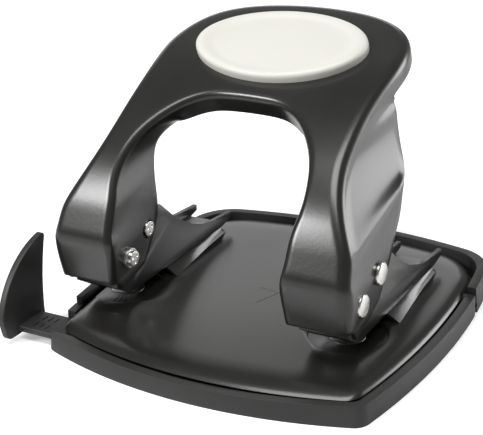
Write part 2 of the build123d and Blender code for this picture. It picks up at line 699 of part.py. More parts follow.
save("base_plate", base_plate())
for unit, unit_x in UNITS.items():
    outward = -1 if unit_x < 0 else 1
    save(unit + "_bracket", bracket(unit_x))
    save(unit + "_rivet_front", bracket_rivet(unit_x, RIVET_YS[0]))
    save(unit + "_rivet_rear", bracket_rivet(unit_x, RIVET_YS[1]))
    save(unit + "_pivot_pin", pin(unit_x, outward, PIVOT_Y, PIVOT_Z, PIVOT_END))
    save(unit + "_pivot_sleeve", pivot_sleeve(unit_x, outward))
    save(unit + "_drive_pin", pin(unit_x, outward, 0.0, DRIVE_Z, DRIVE_END))
    save(unit + "_punch", punch(unit_x))
    save(unit + "_guide_bush", guide_bush(unit_x))
    save(unit + "_spring", spring(unit_x))
    save(unit + "_die", die(unit_x))
print(f"spring: least gap between turns {spring_self_gap():.2f} mm")
save("handle", handle())
save("handle_pad", handle_pad())
save("paper_gauge", paper_gauge())
save("gauge_guide", gauge_guide())
save("chip_tray", chip_tray())
save("rear_shell", rear_shell())
for side, rod_place in zip(("left", "right"), KNUCKLE_XS):
    save(side + "_tray_rod", hinge_rod(rod_place))
for side, screw_place in zip(("left", "right"), SCREW_XS):
    save(side + "_shell_screw", shell_screw(screw_place))
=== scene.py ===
import bpy
import bmesh
import json
import math
import numpy as np
from mathutils import Matrix, Vector


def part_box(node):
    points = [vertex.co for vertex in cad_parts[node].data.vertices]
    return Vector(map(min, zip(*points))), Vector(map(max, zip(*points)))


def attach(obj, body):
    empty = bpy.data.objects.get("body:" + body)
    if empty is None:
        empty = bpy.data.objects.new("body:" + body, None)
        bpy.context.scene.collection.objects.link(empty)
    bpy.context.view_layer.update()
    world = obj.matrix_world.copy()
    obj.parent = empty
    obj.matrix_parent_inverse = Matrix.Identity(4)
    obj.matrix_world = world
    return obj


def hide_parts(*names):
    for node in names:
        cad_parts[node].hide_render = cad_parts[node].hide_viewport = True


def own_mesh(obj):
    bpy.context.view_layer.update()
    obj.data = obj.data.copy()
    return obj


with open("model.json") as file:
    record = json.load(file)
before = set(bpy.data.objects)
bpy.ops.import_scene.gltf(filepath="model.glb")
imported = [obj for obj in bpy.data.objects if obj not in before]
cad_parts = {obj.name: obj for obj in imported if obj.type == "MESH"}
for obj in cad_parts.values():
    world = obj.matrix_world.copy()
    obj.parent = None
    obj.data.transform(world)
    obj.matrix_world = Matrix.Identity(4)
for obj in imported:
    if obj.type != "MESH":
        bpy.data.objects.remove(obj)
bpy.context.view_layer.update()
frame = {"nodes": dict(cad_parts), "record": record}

nodes = frame["nodes"]
MM = 0.001
UNITS = {"left": -40.0, "right": 40.0}

# ---------------------------------------------------------------- base plate
# The base plate is one piece of pressed sheet steel in black enamel. Its edge rolls down all round over the
# tray, and it carries two raised seats for the brackets and a round recess for each die.


class Term:
    """A number or colour on its way through a material, which takes part in plain sums."""

    def __init__(self, finish, socket):
        self.finish = finish
        self.socket = socket

    def _math(self, operation, first, second):
        return self.finish.node("ShaderNodeMath", {"operation": operation}, [first, second])

    def __add__(self, other):
        return self._math("ADD", self, other)

    def __radd__(self, other):
        return self._math("ADD", other, self)

    def __sub__(self, other):
        return self._math("SUBTRACT", self, other)

    def __rsub__(self, other):
        return self._math("SUBTRACT", other, self)

    def __mul__(self, other):
        return self._math("MULTIPLY", self, other)

    def __rmul__(self, other):
        return self._math("MULTIPLY", other, self)


class Finish:
    """A painted, plated or moulded finish, built from shader nodes on Object coordinates."""

    def __init__(self, name):
        self.material = bpy.data.materials.new(name)
        self.material.use_nodes = True
        self.tree = self.material.node_tree
        self.tree.nodes.clear()
        self.place = self.node("ShaderNodeTexCoord", {}, {}, "Object")

    def node(self, kind, settings, inputs, output=0):
        """Add a node: its settings first, then the value or the link of each socket."""
        made = self.tree.nodes.new(kind)
        for key, value in settings.items():
            setattr(made, key, value)
        pairs = inputs.items() if isinstance(inputs, dict) else enumerate(inputs)
        for key, value in pairs:
            if isinstance(value, Term):
                self.tree.links.new(value.socket, made.inputs[key])
            else:
                made.inputs[key].default_value = value
        return Term(self, made.outputs[output])

    def noise(self, scale, detail=2.0, stretch=(1, 1, 1)):
        """Noise laid out on Object coordinates."""
        place = self.node("ShaderNodeMapping", {}, {"Vector": self.place, "Scale": stretch})
        return self.node("ShaderNodeTexNoise", {}, {"Vector": place, "Scale": scale, "Detail": detail})

    def blend(self, factor, first, second):
        """A colour between two colours."""
        return self.node("ShaderNodeMix", {"data_type": "RGBA"}, {0: factor, 6: first, 7: second}, 2)

    def between(self, term, low, high):
        """A term from 0 to 1 mapped to a range, held at its ends."""
        return self.node("ShaderNodeMapRange", {}, [term, 0.0, 1.0, low, high])

    def close(self, shader):
        """Join a shader to the material's output."""
        output = self.tree.nodes.new("ShaderNodeOutputMaterial")
        self.tree.links.new(shader.socket, output.inputs["Surface"])
        return self.material

    def surface(self, colour, roughness, height=None, depth=0.0, **fixed):
        """Join the finish to its surface, with a bump of a real depth in metres."""
        inputs = {"Base Color": colour, "Roughness": roughness}
        inputs.update({key.replace("_", " "): value for key, value in fixed.items()})
        if height is not None:
            inputs["Normal"] = self.node("ShaderNodeBump", {}, {"Height": height, "Distance": depth})
        return self.close(self.node("ShaderNodeBsdfPrincipled", {}, inputs))


def black_enamel():
    """Stoved black enamel: deep black, a soft gloss, and a faint orange-peel in the film."""
    paint = Finish("black_enamel")
    cloud = paint.noise(60.0, 3.0)
    peel = paint.noise(900.0, 2.0)
    colour = paint.blend(cloud, (0.010, 0.0098, 0.0088, 1), (0.017, 0.0166, 0.015, 1))
    return paint.surface(colour, paint.between(cloud, 0.26, 0.34), peel, 0.00002,
                         Coat_Weight=0.35, Coat_Roughness=0.18)


ENAMEL = black_enamel()
BODY_LEFT, BODY_RIGHT, BODY_FRONT, BODY_REAR = -52.5, 66.4, -44.0, 74.0
FRONT_BOW, SIDE_BOW, REAR_BOW = 158.0, 235.0, 200.0
FRONT_CORNER, REAR_CORNER = 5.0, 16.0
PLATE_EDGE, PLATE_TOP, PLATE_INSET, PLATE_T = 6.0, 8.0, 4.3, 1.2
APRON_ENDS, APRON_SIDES = 10.5, 4.6
ROLL_ROUND, ROLL_STRAIGHT, ROLL_SPREAD = 0.9, 0.1, 1.15
RECESS_R, RECESS_DEPTH, RECESS_ROLL = 12.5, 0.8, 0.5
DIE_HOLE_R, DIE_HOLE_LOW, DIE_HOLE_ROLL = 5.6, 2.0, 0.05
SEAT_FRONT, SEAT_REAR, SEAT_TOP, SEAT_T, SEAT_HALF = 12.0, 48.0, 11.0, 1.0, 7.9
SEAT_FOOT_LEFT, SEAT_FOOT_WIDE, SEAT_FOOT_NARROW = 8.3, 11.6, 8.1
SEAT_TAIL_TOP, SEAT_SINK = 8.05, 0.02


def scrap_object(points, faces, name="scrap"):
    """A mesh from points in millimetres, thrown away later unless it becomes a piece."""
    mesh = bpy.data.meshes.new(name)
    mesh.from_pydata([tuple(float(c) * MM for c in point) for point in points], [], faces)
    made = bpy.data.objects.new(name, mesh)
    bpy.context.collection.objects.link(made)
    return made


def mesh_object(name, points, faces, body, slot, material):
    """A plain mesh piece from points in millimetres, riding on a body."""
    piece = scrap_object(points, faces, name)
    piece.data.validate()
    piece.data.materials.append(material)
    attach(piece, body)
    return piece


def outline_gap(x, y, ends, sides):
    """How far a point lies outside the bowed, round-cornered outline, below zero inside it."""
    mid_x = (BODY_LEFT + BODY_RIGHT) / 2
    half = (BODY_RIGHT - BODY_LEFT) / 2 - sides
    mid_y = (BODY_FRONT + BODY_REAR) / 2

    def disc(centre_x, centre_y, radius):
        return np.hypot(x - centre_x, y - centre_y) - radius

    front = disc(mid_x, BODY_FRONT + FRONT_BOW, FRONT_BOW - ends)
    rear = disc(mid_x, BODY_REAR - REAR_BOW, REAR_BOW - ends)
    right = disc(mid_x + half - SIDE_BOW + sides, mid_y, SIDE_BOW - sides)
    left = disc(mid_x - half + SIDE_BOW - sides, mid_y, SIDE_BOW - sides)
    side = np.maximum(right, left)

    def corner(first, second, radius):
        a, b = np.maximum(first + radius, 0), np.maximum(second + radius, 0)
        return np.minimum(np.maximum(first + radius, second + radius), 0) + np.hypot(a, b) - radius

    return np.maximum(corner(front, side, FRONT_CORNER - min(ends / 2, 3.5)),
                      corner(rear, side, REAR_CORNER - ends / 2))


def outline_ring(ends, sides, count=480):
    """The outline's points, drawn in by one distance at its ends and another at its sides."""
    mid = np.array([(BODY_LEFT + BODY_RIGHT) / 2, (BODY_FRONT + BODY_REAR) / 2])
    angles = np.linspace(0, 2 * math.pi, count, endpoint=False)
    ways = np.stack([np.cos(angles), np.sin(angles)], 1)
    near, far = np.full(count, 10.0), np.full(count, 110.0)
    for _ in range(40):
        middle = (near + far) / 2
        spot = mid + ways * middle[:, None]
        outside = outline_gap(spot[:, 0], spot[:, 1], ends, sides) > 0
        far = np.where(outside, middle, far)
        near = np.where(outside, near, middle)
    return mid + ways * near[:, None]


def stack_rings(rings, close_first, close_last):
    """Points and faces of a skin through a stack of rings, each a list of (x, y, z)."""
    count = len(rings[0])
    points = [point for ring in rings for point in ring]
    faces = []
    for level in range(len(rings) - 1):
        for step in range(count):
            low = level * count + step
            low_next = level * count + (step + 1) % count
            faces.append((low, low_next, low_next + count, low + count))
    for wanted, start, flip in ((close_first, 0, True), (close_last, len(rings) - 1, False)):
        if wanted:
            ring = list(range(start * count, (start + 1) * count))
            centre = len(points)
            points.append(tuple(np.mean([points[i] for i in ring], 0)))
            for step in range(count):
                edge = (ring[step], ring[(step + 1) % count], centre)
                faces.append(edge[::-1] if flip else edge)
    return points, faces


def sheet_faces(rows, width):
    """The faces of a grid of points, row after row."""
    return [(r * width + c, r * width + c + 1, (r + 1) * width + c + 1, (r + 1) * width + c)
            for r in range(rows - 1) for c in range(width - 1)]


def keep_result(piece):
    """Turn a piece's modifiers into its plain mesh."""
    done = bpy.data.meshes.new_from_object(piece.evaluated_get(bpy.context.evaluated_depsgraph_get()))
    piece.modifiers.clear()
    piece.data = done
    return piece


def thicken(piece, thickness, even=False):
    """Give a skin the thickness of its sheet, inwards."""
    skin = piece.modifiers.new("sheet", "SOLIDIFY")
    skin.thickness = thickness * MM
    skin.offset = -1.0
    if even:
        skin.use_even_offset = True
    return keep_result(piece)


def round_edges(piece, width, segments, degrees):
    """Round the edges where two faces meet at more than a marked angle."""
    edge = piece.modifiers.new("edge", "BEVEL")
    edge.width = width * MM
    edge.segments = segments
    edge.limit_method = "ANGLE"
    edge.angle_limit = math.radians(degrees)
    return keep_result(piece)


def rework(mesh, change):
    """Open a mesh, change it and write it back."""
    work = bmesh.new()
    work.from_mesh(mesh)
    change(work)
    work.to_mesh(mesh)
    work.free()


def face_out(work):
    """Turn all the faces of an opened mesh the same way out."""
    bmesh.ops.recalc_face_normals(work, faces=work.faces)


def smooth(piece, degrees=35):
    """Smooth shading with sharp edges where two faces meet at a marked angle."""
    piece.data.shade_smooth()
    piece.data.set_sharp_from_angle(angle=math.radians(degrees))
    return piece


def carve(piece, tools):
    """Cut a set of throw-away meshes out of a piece, and remove them."""
    for tool in tools:
        cut = piece.modifiers.new("cut", "BOOLEAN")
        cut.operation = "DIFFERENCE"
        cut.solver = "EXACT"
        cut.object = tool
        keep_result(piece)
        bpy.data.objects.remove(tool)
    return piece


def round_tool(axis_x, radius, low, high, edge):
    """A round cutter along Z that flares at its top, for a hole with a rolled edge."""
    turn = np.linspace(0, 2 * math.pi, 72, endpoint=False)
    steps = [(radius, low), (radius, high - edge), (radius + edge * 0.3, high - edge * 0.3),
             (radius + edge, high), (radius + edge, high + 3)]
    rings = [[(axis_x + r * math.cos(t), r * math.sin(t), z) for t in turn] for r, z in steps]
    return scrap_object(*stack_rings(rings, True, True))


def base_plate():
    """Roll the plate's skin from its outline, thicken it, cut its recesses and press its seats."""
    roll = []
    for share in np.linspace(0, 1, 15):
        rise = ROLL_ROUND * (1 - (1 - share) ** 3) + ROLL_STRAIGHT * share
        spread = share ** ROLL_SPREAD
        ring = outline_ring(PLATE_INSET + APRON_ENDS * spread, PLATE_INSET + APRON_SIDES * spread)
        roll.append([(x, y, PLATE_EDGE + (PLATE_TOP - PLATE_EDGE) * rise) for x, y in ring])
    crown = np.array(roll[-1])
    middle = crown.mean(0)
    roll += [[tuple(middle + (point - middle) * share) for point in crown] for share in (0.97, 0.6, 0.2)]
    points, faces = stack_rings(roll, False, True)
    plate = mesh_object("pressed_plate", points, faces, "base", "black_enamel", ENAMEL)
    thicken(plate, PLATE_T)
    floor = PLATE_TOP - RECESS_DEPTH
    tools = []
    for axis_x in UNITS.values():
        tools.append(round_tool(axis_x, RECESS_R - RECESS_ROLL, floor, PLATE_TOP, RECESS_ROLL))
        tools.append(round_tool(axis_x, DIE_HOLE_R, DIE_HOLE_LOW, floor, DIE_HOLE_ROLL))
    carve(plate, tools)
    for side, axis_x in UNITS.items():
        bracket_seat(plate, side, axis_x)
    smooth(plate, 25)
    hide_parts("base_plate")


def bracket_seat(plate, side, axis_x):
    """Press one seat: an open-fronted ridge whose flanks run out to nothing behind."""
    def flank(foot):
        return [(SEAT_HALF - 1.2, 1.0), (SEAT_HALF - 0.3, 0.86),
                (SEAT_HALF + (foot - SEAT_HALF) * 0.45, 0.5), (foot, 0.02)]

    rows = []
    for y, share, top in ((SEAT_FRONT, 0.0, SEAT_TOP), (24.0, 0.4, SEAT_TOP), (36.0, 0.8, SEAT_TOP),
                          (SEAT_REAR - 1, 1.0, SEAT_TOP), (SEAT_REAR + 1.5, 1.0, SEAT_TAIL_TOP)):
        fading = SEAT_FOOT_WIDE + (SEAT_FOOT_NARROW - SEAT_FOOT_WIDE) * share
        left_foot = SEAT_FOOT_LEFT if side == "left" else fading
        rise = (top - PLATE_TOP) / (SEAT_TOP - PLATE_TOP)
        outline = [(axis_x - x, z) for x, z in reversed(flank(left_foot))]
        outline += [(axis_x + x, z) for x, z in flank(fading)]
        rows.append([(x, y, PLATE_TOP - SEAT_SINK + (SEAT_TOP - PLATE_TOP) * z * rise) for x, z in outline])
    points = [point for row in rows for point in row]
    seat = scrap_object(points, sheet_faces(len(rows), len(rows[0])))
    thicken(seat, SEAT_T)
    rework(plate.data, lambda work: work.from_mesh(seat.data))
    bpy.data.objects.remove(seat)


base_plate()
CENTRE_MARK = [(0.4, 16.3), (5.0, 6.0), (8.4, 15.5)]
MARK_RISE, MARK_SINK, MARK_TAPER = 0.06, 0.02, 0.1
mark_middle = np.mean(CENTRE_MARK, 0)
mark_rings = []
for shrink, z in ((0.0, PLATE_TOP - MARK_SINK), (0.0, PLATE_TOP + MARK_RISE),
                  (MARK_TAPER, PLATE_TOP + MARK_RISE), (MARK_TAPER, PLATE_TOP - MARK_SINK)):
    mark_rings.append([(*(np.array(tip) + (mark_middle - tip) * shrink), z) for tip in CENTRE_MARK])
smooth(mesh_object("centre_mark", *stack_rings(mark_rings, False, False), "base", "black_enamel", ENAMEL), 20)

# ---------------------------------------------------------------- brackets
# Each bracket is a channel folded from black enamelled steel. Its two cheeks hold the pins, and it is
# riveted to its seat on the base plate.


def softened(node, name, body, material, width):
    """A copy of a solid with its edges broken by a small round, as a press or a mould leaves them."""
    def join_flats(work):
        bmesh.ops.remove_doubles(work, verts=work.verts, dist=0.000002)
        bmesh.ops.dissolve_limit(work, angle_limit=math.radians(0.6), verts=work.verts, edges=work.edges)

    mesh = nodes[node].data.copy()
    rework(mesh, join_flats)
    piece = bpy.data.objects.new(name, mesh)
    bpy.context.collection.objects.link(piece)
    mesh.materials.clear()
    mesh.materials.append(material)
    round_edges(piece, width, 3, 40)
    smooth(piece, 30)
    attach(piece, body)
    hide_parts(node)
    return piece


for side in UNITS:
    softened(side + "_bracket", side + "_folded_bracket", "base", ENAMEL, 0.35)

# ---------------------------------------------------------------- rivets and pins
# The rivets and the pins are steel with formed heads, in bright nickel plate. Each pin's free end carries
# three small stake marks.
STAKE_RING_R, STAKE_TURN = 1.25, 0.5
# One stake mark, each ring as (radius, depth below the pin's end)
STAKE_RINGS = [(0.62, -0.3), (0.6, 0.02), (0.3, 0.45)]


def nickel_plate():
    """Bright nickel with a little haze."""
    plate = Finish("nickel_plate")
    haze = plate.noise(300.0, 3.0)
    scratch = plate.noise(2000.0, 2.0, (1, 0.1, 1))
    colour = plate.blend(haze, (0.70, 0.68, 0.65, 1), (0.83, 0.81, 0.78, 1))
    return plate.surface(colour, plate.between(haze, 0.16, 0.30), scratch, 0.00001, Metallic=1.0)


NICKEL = nickel_plate()


def headed_pin(node, side, y, z):
    """A pin whose free end carries three small stake marks."""
    outward = -1 if side == "left" else 1
    low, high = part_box(node)
    end = (high[0] if outward < 0 else low[0]) / MM
    piece = softened(node, node.replace("_pin", "_headed_pin"), frame_body[node], NICKEL, 0.12)
    tools = []
    steps = np.linspace(0, 2 * math.pi, 16, endpoint=False)
    for turn in range(3):
        angle = 2 * math.pi * turn / 3 + STAKE_TURN
        mark_y, mark_z = y + STAKE_RING_R * math.cos(angle), z + STAKE_RING_R * math.sin(angle)
        rings = [[(end + depth * outward, mark_y + r * math.cos(t), mark_z + r * math.sin(t)) for t in steps]
                 for r, depth in STAKE_RINGS]
        tools.append(scrap_object(*stack_rings(rings, True, True)))
        rework(tools[-1].data, face_out)
    carve(piece, tools)
    smooth(piece, 30)


frame_body = {node: body for body, held in frame["record"]["behaviour"]["bodies"].items() for node in held}
PIVOT_Y, PIVOT_Z, DRIVE_Z = -12.4, 25.3, 30.0
for side in UNITS:
    headed_pin(side + "_pivot_pin", side, PIVOT_Y, PIVOT_Z)
    headed_pin(side + "_drive_pin", side, 0.0, DRIVE_Z)
    for end in ("front", "rear"):
        softened(f"{side}_rivet_{end}", f"{side}_round_rivet_{end}", "base", NICKEL, 0.3)

# ---------------------------------------------------------------- punches, bushes and dies
# The punches, their bushes and the dies are ground tool steel, with rings left by turning. Each punch slides
# in a bush in its bracket's floor, over a die set in the plate.


def tool_steel():
    """Ground steel with fine rings round its axis."""
    steel = Finish("tool_steel")
    rings = steel.noise(1500.0, 2.0, (0.03, 0.03, 1))
    oil = steel.noise(80.0, 3.0)
    colour = steel.blend(oil, (0.42, 0.42, 0.41, 1), (0.60, 0.60, 0.58, 1))
    return steel.surface(colour, steel.between(rings, 0.25, 0.42), rings, 0.00001, Metallic=1.0)


STEEL = tool_steel()
for side in UNITS:
    softened(side + "_punch", side + "_ground_punch", side + "_ram", STEEL, 0.15)
    softened(side + "_guide_bush", side + "_turned_bush", "base", STEEL, 0.1)
    softened(side + "_die", side + "_ground_die", "base", STEEL, 0.1)

# ---------------------------------------------------------------- sleeves, rods and screws
# The spacers on the pivots, the rods of the tray's hinge and the screws under the shell are zinc-plated
# steel. The spacers and rods are turned and drawn, and the screws are slotted.


def zinc_plate():
    """Zinc plate, dull and slightly blue, with a fine spangle."""
    zinc = Finish("zinc_plate")
    spangle = zinc.noise(700.0, 3.0)
    colour = zinc.blend(spangle, (0.48, 0.49, 0.49, 1), (0.66, 0.66, 0.65, 1))
    return zinc.surface(colour, zinc.between(spangle, 0.28, 0.42), spangle, 0.00001, Metallic=1.0)


ZINC = zinc_plate()
for side in UNITS:
    softened(side + "_pivot_sleeve", side + "_turned_sleeve", "base", ZINC, 0.1)
    softened(side + "_tray_rod", side + "_drawn_rod", "base", ZINC, 0.15)
    softened(side + "_shell_screw", side + "_slotted_screw", "base", ZINC, 0.12)

# ---------------------------------------------------------------- return springs
# Each punch is lifted by a spring wound from round zinc-plated wire. It sits between the bracket's floor and
# the punch's head, with an even pitch and plain ends.
SPRING_LOW, SPRING_HIGH = 12.4, 25.7
SPRING_R, WIRE_R, TURNS, SPRING_KEEP = 4.2, 0.5, 4.0, 0.4


def open_tree(name, sizes, finish):
    """A geometry-nodes tree with its named inputs and its one output."""
    tree = bpy.data.node_groups.new(name, "GeometryNodeTree")
    for key in sizes:
        tree.interface.new_socket(key, in_out="INPUT", socket_type="NodeSocketFloat")
    tree.interface.new_socket("Place", in_out="INPUT", socket_type="NodeSocketVector")
    tree.interface.new_socket(finish, in_out="INPUT", socket_type="NodeSocketMaterial")
    tree.interface.new_socket("Geometry", in_out="OUTPUT", socket_type="NodeSocketGeometry")
    return tree


def wound_spring_tree():
    """Geometry nodes for a spring: a spiral of even pitch, swept by a round wire."""
    tree = open_tree("wound_spring", ("Turns", "Radius", "Wire", "Height"), "Wire finish")
    given = tree.nodes.new("NodeGroupInput")
    spiral = tree.nodes.new("GeometryNodeCurveSpiral")
    spiral.inputs["Resolution"].default_value = 40
    ring = tree.nodes.new("GeometryNodeCurvePrimitiveCircle")
    ring.inputs["Resolution"].default_value = 14
    sweep = tree.nodes.new("GeometryNodeCurveToMesh")
    sweep.inputs["Fill Caps"].default_value = True
    move = tree.nodes.new("GeometryNodeTransform")
    real = tree.nodes.new("GeometryNodeRealizeInstances")
    paint = tree.nodes.new("GeometryNodeSetMaterial")
    out = tree.nodes.new("NodeGroupOutput")
    for start, end in ((given.outputs["Turns"], spiral.inputs["Rotations"]),
                       (given.outputs["Radius"], spiral.inputs["Start Radius"]),
                       (given.outputs["Radius"], spiral.inputs["End Radius"]),
                       (given.outputs["Height"], spiral.inputs["Height"]),
                       (given.outputs["Wire"], ring.inputs["Radius"]),
                       (spiral.outputs["Curve"], sweep.inputs["Curve"]),
                       (ring.outputs["Curve"], sweep.inputs["Profile Curve"]),
                       (sweep.outputs["Mesh"], move.inputs["Geometry"]),
                       (given.outputs["Place"], move.inputs["Translation"]),
                       (move.outputs["Geometry"], real.inputs["Geometry"]),
                       (real.outputs["Geometry"], paint.inputs["Geometry"]),
                       (given.outputs["Wire finish"], paint.inputs["Material"]),
                       (paint.outputs["Geometry"], out.inputs["Geometry"])):
        tree.links.new(start, end)
    return tree


SPRING_TREE = wound_spring_tree()


def node_piece(name, tree, values):
    """A mesh made by a geometry-nodes tree, with its named inputs set, as a plain mesh."""
    piece = bpy.data.objects.new(name, bpy.data.meshes.new(name))
    bpy.context.collection.objects.link(piece)
    maker = piece.modifiers.new("maker", "NODES")
    maker.node_group = tree
    for item in tree.interface.items_tree:
        if item.in_out == "INPUT" and item.name in values:
            maker[item.identifier] = values[item.name]
    return keep_result(piece)


for side, axis_x in UNITS.items():
    spring = node_piece(side + "_wound_spring", SPRING_TREE,
                        {"Turns": TURNS, "Radius": SPRING_R * MM, "Wire": WIRE_R * MM,
                         "Height": (SPRING_HIGH - SPRING_LOW - 2 * WIRE_R) * MM,
                         "Place": (axis_x * MM, 0.0, (SPRING_LOW + WIRE_R) * MM), "Wire finish": ZINC})
    spring.data.shade_smooth()
    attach(spring, "base")
    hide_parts(side + "_spring")
    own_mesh(spring)

# ---------------------------------------------------------------- handle
# The handle is one piece of 1.4 mm sheet steel, drawn and folded, in the same black enamel. Its web runs up
# both legs, round the knee and back along the top, and every edge turns down into a flange. The legs'
# flanges end in the ears that take the pins.
SHEET_T = 1.4
FOOT_Y, FOOT_Z, FOOT_RUN, FOOT_ANGLE = -20.8, 18.8, 12.4, 96.0
# The web's side profile above its straight foot, each stretch as (length of a straight or None, radius,
# last heading)
WEB_STRETCHES = [(None, 9.0, 64.0), (6.0, None, 64.0), (None, 60.0, 36.0), (None, 116.0, 15.0)]
OUTER_BEND, INNER_BEND, LIP_DEPTH, ARCH_DEPTH = 3.4, 2.2, 6.4, 7.2
# Runs over which the flanges' rear edges pass from the listed points into the lip
OUTER_LIP_FROM, INNER_LIP_FROM = (80, 90), (54, 66)
LEG_RUN, LEG_ROWS, TOP_ROWS, WEB_COLUMNS = 42.0, 34, 180, 16
OUTER_BEND_STEPS, INNER_BEND_STEPS, FLANGE_STEPS = 7, 6, 10
# The ears' lower edges, from the front point back to each flange's rear point, as (y, z)
EAR_FRONT, INNER_EAR_REAR, OUTER_EAR_REAR = (-15.9, 16.0), (-2.6, 19.2), (1.0, 19.8)
PIVOT_HOLE_R, SLOT_R, SLOT_HALF_RUN, SLOT_DROP = 2.56, 2.75, 0.43, 0.16
# Half outlines of the web, each point as (run along the profile, half width)
OUTER_EDGE = [(0, 50.8), (6, 51.5), (12, 51.5), (18, 50.8), (24, 50.0), (29, 48.2), (34, 46.1),
              (41, 43.6), (50, 41.6), (61, 40.8), (72, 40.7), (84, 41.3), (93, 41.7), (101, 40.8),
              (108, 38.4), (114, 34.2), (119, 27.0), (122.8, 14.0)]
INNER_EDGE = [(0, 29.7), (6, 29.1), (12, 28.9), (18, 29.7), (23, 30.0), (29, 30.3), (35, 31.3),
              (42, 31.2), (52, 28.6), (59, 24.6), (65, 19.4), (69.2, 12.5), (70.3, 5.0)]
# Rear edges of the flanges, each point as (run along the web, y, z, x)
OUTER_REAR = [(0, 2.2, 21.3, 49.9), (6, 6.4, 27.0, 49.9), (11, 10.6, 31.9, 49.9), (15, 13.4, 37.0, 49.9),
              (18, 16.6, 41.5, 49.9), (20, 18.5, 47.0, 49.9), (25, 19.6, 50.2, 49.9), (32, 24.5, 53.2, 48.0),
              (42, 28.2, 59.0, 45.2), (52, 30.4, 65.5, 43.2), (60, 31.4, 69.2, 42.3), (72, 32.0, 71.0, 41.4),
              (84, 33.0, 72.6, 41.6)]
INNER_REAR = [(0, -1.4, 21.0, 30.1), (8, 5.4, 30.6, 30.1), (12, 6.6, 34.0, 30.1), (18, 6.7, 41.0, 30.1),
              (34, 7.8, 51.5, 30.6), (44, 10.2, 56.5, 30.2), (54, 14.5, 61.0, 26.6), (62, 18.0, 64.5, 21.6)]


def web(run):
    """The web's side profile: y, z and heading at each distance run from its foot."""
    run = np.asarray(run, float)
    heading = math.radians(FOOT_ANGLE) + 0 * run
    foot = np.minimum(run, FOOT_RUN)
    y, z = FOOT_Y + foot * np.cos(heading), FOOT_Z + foot * np.sin(heading)
    start = FOOT_RUN
    last = math.radians(FOOT_ANGLE)
    for straight, radius, ends in WEB_STRETCHES:
        length = straight or radius * (last - math.radians(ends))
        gone = np.clip(run - start, 0, length)
        if straight:
            y, z = y + gone * np.cos(heading), z + gone * np.sin(heading)
        else:
            after = heading - gone / radius
            y = y + radius * (np.sin(heading) - np.sin(after))
            z = z + radius * (np.cos(after) - np.cos(heading))
            heading = after
        start, last = start + length, math.radians(ends)
    rest = np.maximum(run - start, 0)
    return y + rest * np.cos(heading), z + rest * np.sin(heading), heading


def spline(points, count):
    """A smooth line through a few points, a natural cubic over their chord lengths."""
    knots = np.array(points, float)
    at = np.concatenate([[0], np.cumsum(np.linalg.norm(np.diff(knots, axis=0), axis=1))])
    gaps = np.diff(at)
    size = len(knots)
    system = np.eye(size)
    right = np.zeros_like(knots)
    for i in range(1, size - 1):
        system[i, i - 1:i + 2] = (gaps[i - 1], 2 * (gaps[i - 1] + gaps[i]), gaps[i])
        right[i] = 6 * ((knots[i + 1] - knots[i]) / gaps[i] - (knots[i] - knots[i - 1]) / gaps[i - 1])
    bend = np.linalg.solve(system, right)
    where = np.linspace(0, at[-1], count)
    k = np.clip(np.searchsorted(at, where, side="right") - 1, 0, size - 2)
    a, b, gap = (at[k + 1] - where)[:, None], (where - at[k])[:, None], gaps[k][:, None]
    return (bend[k] * a ** 3 + bend[k + 1] * b ** 3) / (6 * gap) \
        + (knots[k] / gap - bend[k] * gap / 6) * a + (knots[k + 1] / gap - bend[k + 1] * gap / 6) * b


def rail(half_edge):
    """One edge of the web from the left foot round to the right foot, in matched rows."""
    left = [(run, -x) for run, x in half_edge]
    line = spline(left + [(run, x) for run, x in reversed(half_edge)], 4000)
    middle = len(line) // 2
    cut = int(np.argmax(line[:middle, 0] >= LEG_RUN))
    leg = line[:cut + 1]
    wanted = np.linspace(0, LEG_RUN, LEG_ROWS, endpoint=False)
    leg_x = np.interp(wanted, leg[:, 0], leg[:, 1])
    top = line[cut:len(line) - cut]
    along = np.concatenate([[0], np.cumsum(np.linalg.norm(np.diff(top, axis=0), axis=1))])
    even = np.linspace(0, along[-1], TOP_ROWS)
    top_even = np.stack([np.interp(even, along, top[:, 0]), np.interp(even, along, top[:, 1])], 1)
    left_leg = np.stack([wanted, leg_x], 1)
    right_leg = np.stack([wanted, -leg_x], 1)[::-1]
    return np.concatenate([left_leg, top_even, right_leg])


def in_space(run, x):
    """Points on the web, in space, and the web's heading there."""
    y, z, heading = web(run)
    return np.stack([x + 0 * run, y, z], -1), heading


def folded_edge(edge, sign, radius, rear_points, lip, lip_from, segments):
    """The bend along one edge of the web and the flange behind it, as columns of points."""
    run, x = edge[:, 0], edge[:, 1]
    slope = np.gradient(edge, axis=0)
    slope /= np.linalg.norm(slope, axis=1)[:, None]
    outward = sign * np.stack([slope[:, 1], -slope[:, 0]], 1)
    start_run, start_x = run - radius * outward[:, 0], x - radius * outward[:, 1]
    place, heading = in_space(start_run, start_x)
    along = np.stack([0 * heading, np.cos(heading), np.sin(heading)], 1)
    normal = np.stack([0 * heading, -np.sin(heading), np.cos(heading)], 1)
    across = outward[:, :1] * along + outward[:, 1:] * np.array([1.0, 0, 0])
    columns = [place]
    for angle in np.linspace(0, math.pi / 2, segments + 1)[1:]:
        columns.append(place + radius * math.sin(angle) * across - radius * (1 - math.cos(angle)) * normal)
    listed = spline(rear_points, 400)
    side = np.sign(x + 1e-9)
    rear = np.stack([np.interp(run, listed[:, 0], listed[:, 3]) * side,
                     np.interp(run, listed[:, 0], listed[:, 1]),
                     np.interp(run, listed[:, 0], listed[:, 2])], 1)
    lip_end = place + radius * across - lip * normal
    share = np.clip((run - lip_from[0]) / (lip_from[1] - lip_from[0]), 0, 1)[:, None]
    share = share * share * (3 - 2 * share)
    rear = rear * (1 - share) + lip_end * share
    bend_end = columns[-1]
    for step in range(1, FLANGE_STEPS + 1):
        columns.append(bend_end + (rear - bend_end) * step / FLANGE_STEPS)
    return columns, (start_run, start_x)


